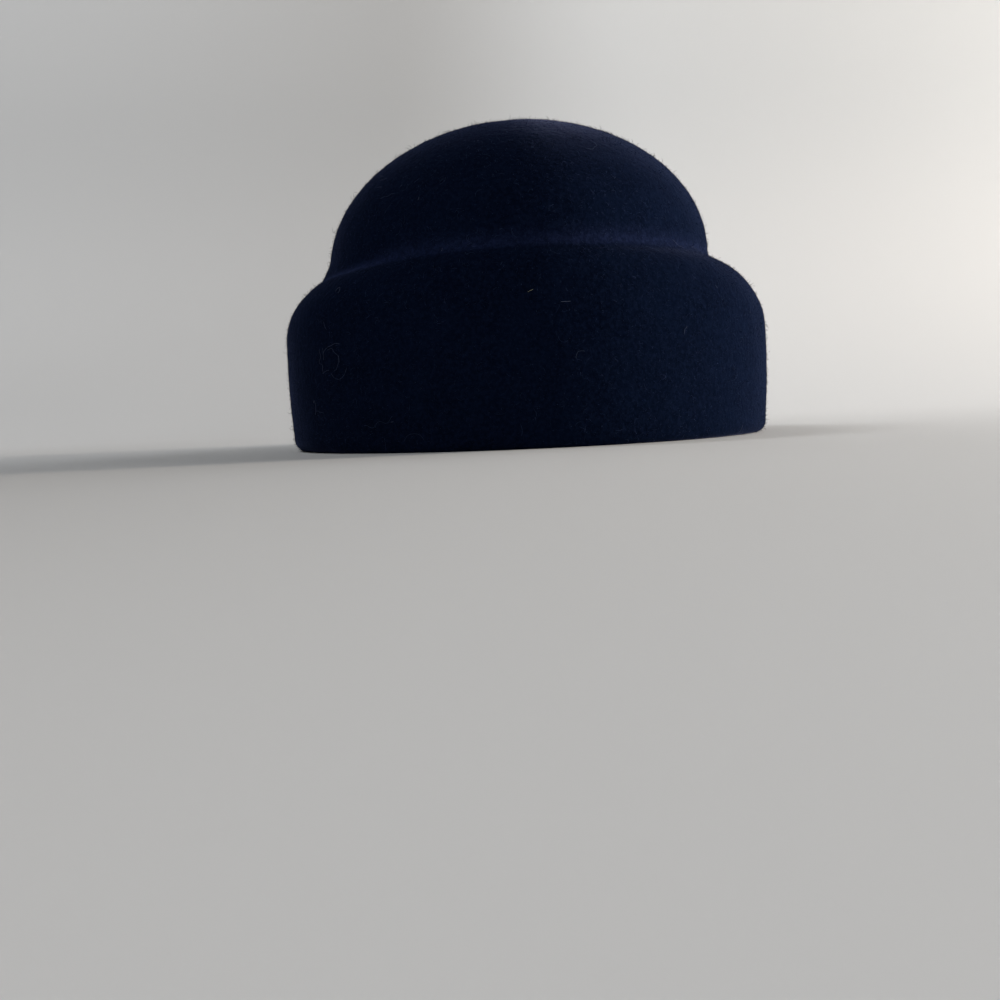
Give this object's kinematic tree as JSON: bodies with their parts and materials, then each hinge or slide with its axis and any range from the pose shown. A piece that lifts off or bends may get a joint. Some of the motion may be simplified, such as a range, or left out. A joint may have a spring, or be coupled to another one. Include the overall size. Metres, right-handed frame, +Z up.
{
  "type": "sailor hat",
  "caption": "Seamless navy wool-felt sailor hat to wear on the head, with a domed crown, a soft crease, a sloping shelf and a tall rounded cuff ending in a rolled lip.",
  "frame": {"origin": "centre of the rim's outline, on the plane that the rolled lip rests on", "axes": "+Z up through the crown, -Y towards the front of the hat, +X across the head to the right of someone who faces its front"},
  "size_m": [0.2142, 0.2218, 0.1389],
  "materials": {
    "navy_felt": "matt blocked wool felt with a short fuzzy nap"
  },
  "bodies": {
    "root": {"felt_body": "navy_felt"}
  },
  "joints": []
}
